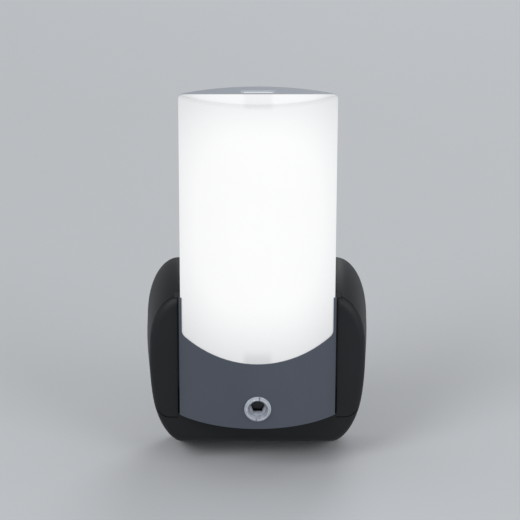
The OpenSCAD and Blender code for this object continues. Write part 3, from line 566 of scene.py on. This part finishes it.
# sRGB colours from 0 to 255, roughness, and what differs from the usual grain
charcoal = {"grain": 2600, "height": 0.02, "vary": 0.08, "spec": 0.3, "dust": 0.5}
satin = {"grain": 3200, "height": 0.01, "vary": 0.03, "metal": 0.25}
materials = {
    "base": moulded("charcoal_moulding", (26, 27, 30), 0.52, **charcoal),
    "wing": moulded("charcoal_moulding_front", (27, 28, 31), 0.50, **charcoal),
    "panel": moulded("silver_grey_satin", (83, 89, 101), 0.38, **satin),
    "insert": moulded("insert_black", (30, 30, 32), 0.5, grain=2000, height=0.02, vary=0.06),
    "button": moulded("button_grey", (86, 90, 97), 0.4, grain=2600, height=0.01, vary=0.04),
    "black": moulded("component_black", (28, 28, 30), 0.55, grain=1800, height=0.02, vary=0.1),
    "holder": moulded("holder_black", (24, 24, 26), 0.6, grain=2200, height=0.02, vary=0.08),
    "bobbin": moulded("bobbin_cream", (221, 214, 192), 0.5, grain=1800, height=0.02, vary=0.03),
    "white": moulded("reflector_white", (246, 246, 246), 0.5, grain=1500, height=0.01, vary=0.01),
    "blue": moulded("sleeve_blue", (38, 45, 84), 0.32, grain=900, height=0.01, vary=0.05),
    "red": moulded("film_red", (182, 52, 36), 0.35, grain=900, height=0.01, vary=0.04),
    "wire_red": moulded("lead_red", (188, 34, 28), 0.4, grain=900, height=0.01, vary=0.04),
    "wrap": moulded("battery_wrap", (150, 160, 178), 0.3, grain=500, height=0.03, vary=0.03, metal=0.35),
    "resistor": moulded("resistor_green", (104, 150, 126), 0.4, grain=900, height=0.01, vary=0.05),
    "led": moulded("led_body", (250, 244, 214), 0.3, grain=900, height=0.005, vary=0.02),
    "steel": brushed("zinc_steel", (188, 190, 194), 0.3, scale=1400),
    "brass": brushed("brass_strip", (206, 172, 98), 0.3, stretch=(1, 1, 6)),
    "blade": brushed("nickel_blade", (208, 202, 184), 0.34, stretch=(1, 0.04, 1), scale=5200),
    "cover": cover_material(),
    "board": board_material(),
    "copper": copper_material(),
    "shade": shade_material(),
    "clear": clear_material(),
    "cell": cell_material(),
}


# ------------------------------------------------------------------ base shells, smooth
def pinned(depth):
    """How far a depth is from the straight rim (0) to the seam (1)."""
    return max(0.0, (depth - rim) / (seam - rim))


def edge_in(depth):
    """How far the rounded front edge has drawn the outline in at a depth."""
    return 0.0 if depth <= seam else wing_t - math.sqrt(max(0.0, wing_t ** 2 - (depth - seam) ** 2))


def top_at(depth):
    """Height of the base's top, the slope of the cradle's arms, at a depth."""
    return base_top - top_draw * pinned(depth) ** 2 - edge_in(depth)


def base_outline(depth, wall=0.0, n=26):
    """The base's outline at a depth as (x, z), from its top clockwise; wall sets it inwards."""
    u, e = pinned(depth), edge_in(depth) + wall
    hw = base_w / 2 - side_draw * u - e
    top = top_at(depth) - wall
    bottom = -base_drop + bottom_draw * u ** bottom_power + e
    # the corners start at heights zt and zb and are tw and bw wide
    zt = base_top - top_ch - top_draw * u * u / 2
    zb = -base_drop + bot_ch + bottom_draw * u ** bottom_power / 2
    tw, bw = max(1.0, top_cw - e / 2), max(1.0, bot_cw - e / 2)
    steps = range(n + 1)

    def side(z):
        return hw - (z - bulge_z) ** 2 / (2 * bulge_r)

    pts = [(side(zt) - tw + tw * math.cos(a), zt + (top - zt) * math.sin(a))
           for a in [math.pi / 2 * (1 - i / n) for i in steps]]
    pts += [(side(zt + (zb - zt) * i / n), zt + (zb - zt) * i / n) for i in range(1, n)]
    # the bottom corner is a quarter ellipse, sheared so that it leaves the side without a kink
    p, q = (side(zb), zb), (side(zb) - bw, bottom)
    c = (p[0] - (bulge_z - zb) / bulge_r * (zb - bottom), bottom)
    for a in [math.pi / 2 * i / n for i in steps]:
        pts.append(tuple(c[k] + (p[k] - c[k]) * (1 - math.sin(a)) + (q[k] - c[k]) * (1 - math.cos(a))
                         for k in (0, 1)))
    # held to the CAD box, which is as wide
    pts = [(min(x, hi0.x / MM), z) for x, z in pts]
    return pts + [(-x, z) for x, z in reversed(pts)]


def ring(depth, wall=0.0, at=None):
    """The outline of a depth as points in space, at that depth or another."""
    return [(x, -(depth if at is None else at), z) for x, z in base_outline(depth, wall)]


def base_form(name, side_steps=22, edge_steps=9):
    """The whole pebble: a straight rim at the wall, the body that draws in, the rounded front edge."""
    depths = [0.0] + [rim + (seam - rim) * i / side_steps for i in range(side_steps + 1)]
    depths += [seam + wing_t * math.sin(math.pi / 2 * i / edge_steps) for i in range(1, edge_steps + 1)]
    return loft(name, [ring(d) for d in depths])


def base_hollow(name, wall, reach=0.0, steps=12):
    """The space inside a wall of the base, open to the front by a reach past the seam."""
    depths = [base_wall] + [rim + (seam - rim) * i / steps for i in range(steps + 1)]
    rings = [ring(d, wall) for d in depths]
    if reach:
        rings.append(ring(seam, wall, seam + reach))
    return loft(name, rings)


def wing_outline(sign, inset=0.0, n=24):
    """One wing face from the middle of the cradle outwards, its lower outer corner rounded."""
    outer, lap, top = base_w / 2 - wing_margin, 0.5, base_top + 1
    cw, ch = outer - chan_hw - wing_flat, wing_corner_h
    foot = [(outer - cw + (cw - inset) * math.cos(a), wing_bottom + ch + (ch - inset) * math.sin(a))
            for a in [-math.pi / 2 + math.pi / 2 * i / n for i in range(n + 1)]]
    pts = [(-lap, top), (-lap, floor_z + floor_t), (chan_hw - lap, floor_z + floor_t),
           (chan_hw - lap, floor_z + 0.01), (chan_hw, floor_z + 0.01), (chan_hw, wing_bottom + inset)]
    pts += foot + [(outer - inset, top)]
    return pts if sign > 0 else [(-x, z) for x, z in reversed(pts)]


def channel(name, grow=0.0):
    """The space that the lamp and its rails need in the cradle, grown to the sides and the back."""
    space = column(name, rear_r + back_gap + grow, rear_ax, floor_z, chan_top)
    boolean(space, slab("cut", groove_hw + grow, 0, mouth, floor_z - 1, chan_top + 1), "INTERSECT")
    grooves = slab("grooves", groove_hw + grow, groove_b - grow, groove_f, floor_z, chan_top)
    boolean(space, grooves, "UNION")
    front = slab("front", chan_hw + grow, groove_b - grow, mouth + 0.1, floor_z, chan_top)
    return boolean(space, front, "UNION")


def make_rear_shell():
    """The shell at the wall with the lamp's stand, cut out for wings, channel, plug and screws."""
    shell = base_form("base_shell_rear")
    boolean(shell, base_hollow("hollow", base_wall), "DIFFERENCE")
    stand = slab("stand", groove_hw + chan_wall, floor_back, base_depth + 1, floor_z - floor_t, floor_z)
    boolean(stand, base_form("form"), "INTERSECT")
    boolean(shell, stand, "UNION")
    for s in (1, -1):
        boolean(shell, plate("wing", wing_outline(s), seam, base_depth + 1), "DIFFERENCE")
    boolean(shell, channel("channel"), "DIFFERENCE")
    hole_hw, hole_hh = insert_w / 2 + insert_gap, insert_h / 2 + insert_gap
    boolean(shell, slab("hole", hole_hw, -1, base_wall + 1, -hole_hh, hole_hh), "DIFFERENCE")
    for s in (1, -1):
        for z in screw_zs:
            boolean(shell, peg("screw_hole", screw_d, -1, screw_deep, s * screw_x, z), "DIFFERENCE")
    return shell


def make_front_shell():
    """The two wing faces and the walls of the channel between them."""
    shell = base_form("base_shell_front")
    wings = plate("wing", wing_outline(1, seam_gap), seam + seam_gap, base_depth + 1)
    boolean(wings, plate("wing", wing_outline(-1, seam_gap), seam + seam_gap, base_depth + 1), "UNION")
    boolean(shell, wings, "INTERSECT")
    walls = channel("walls", chan_wall)
    boolean(walls, base_hollow("hollow", base_wall + 0.05, wing_t / 2), "INTERSECT")
    boolean(shell, walls, "UNION")
    return boolean(shell, channel("channel"), "DIFFERENCE")


def shell_share(p):
    """Smaller roundings on the wings' lower edges and along the seam, the full one elsewhere."""
    if -p.y > seam + seam_gap + 0.05 and abs(p.x) > chan_hw + 0.4 and p.z < 0:
        return 0.35
    return 0.45 if abs(-p.y - seam) < seam_gap + 0.05 else 1.0


for shell, node, mat in ((make_rear_shell(), "base_rear_shell", "base"),
                         (make_front_shell(), "base_front_shell", "wing")):
    shell = bevelled(cleaned(shell, 2e-5, 0.05), 0.3, share=shell_share)
    finished(shell, "base", node, materials[mat])


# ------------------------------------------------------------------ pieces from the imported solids
def taller_rails(ob):
    """Carries the side rails up to the slope of the cradle's arms and widens them to fill the grooves."""
    wide, root = groove_hw - rail_fit, lamp_hw - 0.6
    back, front = groove_b + rail_fit, groove_f - rail_fit
    steps = ((rail_neck, rail_join), (rail_neck, rail_neck_end), (0.0, rail_full), (0.0, None))
    for s in (1, -1):
        rings = []
        for less, up in steps:
            corners = ((wide - less, back + less), (wide - less, front - less),
                       (root, front - less), (root, back + less))
            rings.append([(s * x, -d, up or top_at(d) - 2 * rail_fit) for x, d in corners])
        boolean(ob, loft("rail", rings), "UNION")
    return cleaned(ob, 1e-6)


def shade_share(p):
    """The shade's upper front edge is well rounded, its other edges are only eased."""
    return 1.0 if p.z > lamp_top - 0.3 and -p.y > parting + 0.1 else 0.3


# node, piece, body, width of its rounded edges in mm, slot and material
eased = (
    ("shade", "opal_shade", "lamp", 1.0, "shade_plastic", "shade"),
    ("front_panel", "silver_panel", "lamp", 0.22, "panel_plastic", "panel"),
    ("rear_cover", "frosted_rear_cover", "lamp", 0.25, "cover_plastic", "cover"),
    ("plug_insert", "plug_block", "base", 0.3, "insert_plastic", "insert"),
    ("plug_blades", "plug_blade_pair", "base", 0.18, "blade_metal", "blade"),
    ("switch_button", "push_button", "button", 0.3, "button_plastic", "button"),
)
for node, name, body, width, slot, mat in eased:
    ob = copy_of(node, name)
    if node == "rear_cover":
        ob = taller_rails(ob)
    share, segments = (shade_share, 5) if node == "shade" else (None, 3)
    finished(bevelled(ob, width, segments, share=share), body, node, materials[mat])


# ------------------------------------------------------------------ light sensor's collar, turned
def turned(name, profile, n=100):
    """Ring of a closed profile round the sensor's axis, in rows of radius, depth and share.

    The share is how much of the throat's polygon, which stands on a flat, is in the row: 0 is round.
    """
    half = 180 / throat_sides

    def ring_point(a, r, d, share):
        off_middle = (a - 270 + half) % (2 * half) - half
        flat = r * math.cos(math.radians(half)) / math.cos(math.radians(off_middle))
        r = r + (flat - r) * share
        return (r * math.cos(math.radians(a)), -d, sensor_z + r * math.sin(math.radians(a)))

    k = len(profile)
    verts = [ring_point(360 * i / n, *row) for i in range(n) for row in profile]
    faces = [[i * k + j, i * k + (j + 1) % k, (i + 1) % n * k + (j + 1) % k, (i + 1) % n * k + j]
             for i in range(n) for j in range(k)]
    return recalc(new_object(name, verts, faces))


def quarter(cr, cd, r, a0, a1, n=5):
    """Rows of an arc from one angle to another round a centre."""
    return [(cr + r * math.cos(math.radians(a0 + (a1 - a0) * i / n)),
             cd + r * math.sin(math.radians(a0 + (a1 - a0) * i / n)), 0.0) for i in range(n + 1)]


# its profile from the back of the bore round the outside and the lip, then down the cone to the throat
groove_d = cone_end - cone_groove
collar = turned("sensor_collar", [
    (hole_r, lens_back, 1.0),
    (collar_d / 2, lens_back, 0.0),
    (collar_d / 2, lens_step, 0.0),
    *quarter(collar_front_d / 2 - lip_r, lens_front - lip_r, lip_r, 0, 90, 8),
    *quarter(rim_r + rim_edge, lens_front - rim_edge, rim_edge, 90, 180),
    (cone_r, cone_end, 0.0),
    (cone_r, groove_d, 0.0),
    (cone_r - 0.22, groove_d, 0.0),
    (cone_r - 0.24, cone_end + 0.02, 0.0),
    (cone_r - 0.34, cone_end - 0.2, 0.1),
    (hole_r, throat_end, 1.0)])
# two moulding slits across the front ring, a little off the vertical
for turn in slit_turns:
    a = math.radians(turn)
    slit = slab("slit", slit_hw, lens_front - slit_deep, lens_front + 0.3,
                cone_r - 0.2, collar_front_d / 2 + 0.3)
    spin = Matrix.Rotation(math.pi / 2 - a, 4, "Y")
    slit.data.transform(Matrix.Translation((0, 0, sensor_z * MM)) @ spin)
    boolean(collar, slit, "DIFFERENCE")
finished(smooth(collar, 30), "lamp", "sensor_lens", materials["clear"])
cell = bevelled(copy_of("photocell", "photocell_can"), 0.25)
finished(cell, "lamp", "photocell", materials["cell"])


# ------------------------------------------------------------------ carried-over CAD nodes
carried_over = {
    "black": ("bridge_rectifier", "driver_chip", "control_chip", "tact_switch"),
    "blue": ("electrolytic_capacitor",),
    "board": ("driver_board", "control_board"),
    "bobbin": ("charger_bobbin", "pickup_bobbin"),
    "brass": ("blade_contacts",),
    "copper": ("charger_coil", "pickup_coil"),
    "holder": ("sensor_holder",),
    "led": ("leds",),
    "red": ("film_capacitor",),
    "resistor": ("fuse_resistor",),
    "steel": ("base_screws", "head_screws"),
    "white": ("reflector", "led_board"),
    "wire_red": ("battery_leads",),
    "wrap": ("battery",),
}
for mat, names in carried_over.items():
    for node in names:
        for s in nodes[node].material_slots:
            s.material = materials[mat]


# ------------------------------------------------------------------ stage, lights and camera, in metres
def direct_rays(t):
    """1 for rays that show the background: from the camera, a mirror or glass."""
    lp = add(t, "ShaderNodeLightPath")
    seen_or_glossy = maths(t, "MAXIMUM", lp.outputs["Is Camera Ray"], lp.outputs["Is Glossy Ray"])
    return maths(t, "MAXIMUM", seen_or_glossy, lp.outputs["Is Transmission Ray"])


def shader_mix(t, fac, a, b):
    n = add(t, "ShaderNodeMixShader")
    for socket, source in zip(n.inputs, (fac, a, b)):
        t.links.new(source, socket)
    return n.outputs[0]


backdrop = srgb(191, 195, 199)
floor_hw = 8.0
floor = new_object("floor", [(-floor_hw, -floor_hw, 0), (floor_hw, -floor_hw, 0),
                             (floor_hw, floor_hw, 0), (-floor_hw, floor_hw, 0)], [[0, 1, 2, 3]], 1.0)
floor.location.z = lo0.z - 0.0002
fm, ft, fp = node_material("stage_floor")
tones = [(0.3, srgb(204, 207, 211)), (0.7, srgb(206, 209, 213))]
ft.links.new(ramp(ft, noise(ft, 3.0, 2.0, 0.5), tones), fp.inputs["Base Color"])
fp.inputs["Roughness"].default_value = 0.9
fp.inputs["Specular IOR Level"].default_value = 0.1
# the floor runs out into the backdrop's colour, so no horizon shows
near = band(ft, length(ft, place(ft)), 350.0, 1100.0)
fade = product(ft, maths(ft, "SUBTRACT", 1.0, near), direct_rays(ft))
far_glow = add(ft, "ShaderNodeEmission", Color=backdrop, Strength=1.0)
floor_look = shader_mix(ft, fade, fp.outputs[0], far_glow.outputs[0])
ft.links.new(floor_look, ft.nodes["Material Output"].inputs["Surface"])
floor.data.materials.append(fm)

world = bpy.data.worlds.new("studio")
bpy.context.scene.world = world
world.use_nodes = True
wt = world.node_tree
wt.nodes.clear()
seen = add(wt, "ShaderNodeBackground", Color=backdrop, Strength=1.0)
lit = add(wt, "ShaderNodeBackground", Color=grey(1.0), Strength=0.42)
sky = shader_mix(wt, direct_rays(wt), lit.outputs[0], seen.outputs[0])
wt.links.new(sky, add(wt, "ShaderNodeOutputWorld").inputs["Surface"])


def area(name, where, size, power, aim=(0, -0.02, 0.035)):
    """Round soft light that points at the middle of the object."""
    d = bpy.data.lights.new(name, "AREA")
    d.shape, d.size, d.energy = "DISK", size, power
    o = bpy.data.objects.new(name, d)
    o.location = where
    o.rotation_euler = (Vector(aim) - Vector(where)).to_track_quat("-Z", "Y").to_euler()
    bpy.context.scene.collection.objects.link(o)


area("key", (-0.85, -1.0, 1.05), 0.8, 8.2)
area("fill", (1.0, -0.95, 0.6), 0.9, 5.8)
area("rear", (0.35, 1.1, 0.95), 0.8, 5.0)

# the camera as fitted to the photo: angles, distance, focal length in pixels of a 520 px wide frame
tilt, yaw, roll, dist = math.radians(21.04), math.radians(-0.565), math.radians(0.16), 0.8184
focal_px, frame_px, sensor_w = 2480, 520, 36.0
aim_at = Vector((0.000746, -0.0264, 0.04248))
back = Vector((math.sin(yaw) * math.cos(tilt), -math.cos(yaw) * math.cos(tilt), math.sin(tilt)))
level = Vector((math.cos(yaw), math.sin(yaw), 0))
upright = Vector((-math.sin(yaw) * math.sin(tilt), math.cos(yaw) * math.sin(tilt), math.cos(tilt)))
right = level * math.cos(roll) + upright * math.sin(roll)
up = -level * math.sin(roll) + upright * math.cos(roll)
eye = aim_at + back * dist
cam = bpy.data.objects.new("camera", bpy.data.cameras.new("camera"))
bpy.context.scene.collection.objects.link(cam)
cam.data.sensor_fit, cam.data.sensor_width = "HORIZONTAL", sensor_w
cam.data.lens = sensor_w * focal_px / frame_px
cam.data.clip_start, cam.data.clip_end = 0.02, 20.0
cam.matrix_world = Matrix([(right[i], up[i], back[i], eye[i]) for i in range(3)] + [(0, 0, 0, 1)])
bpy.context.scene.camera = cam
bpy.context.scene.view_settings.view_transform = "Standard"
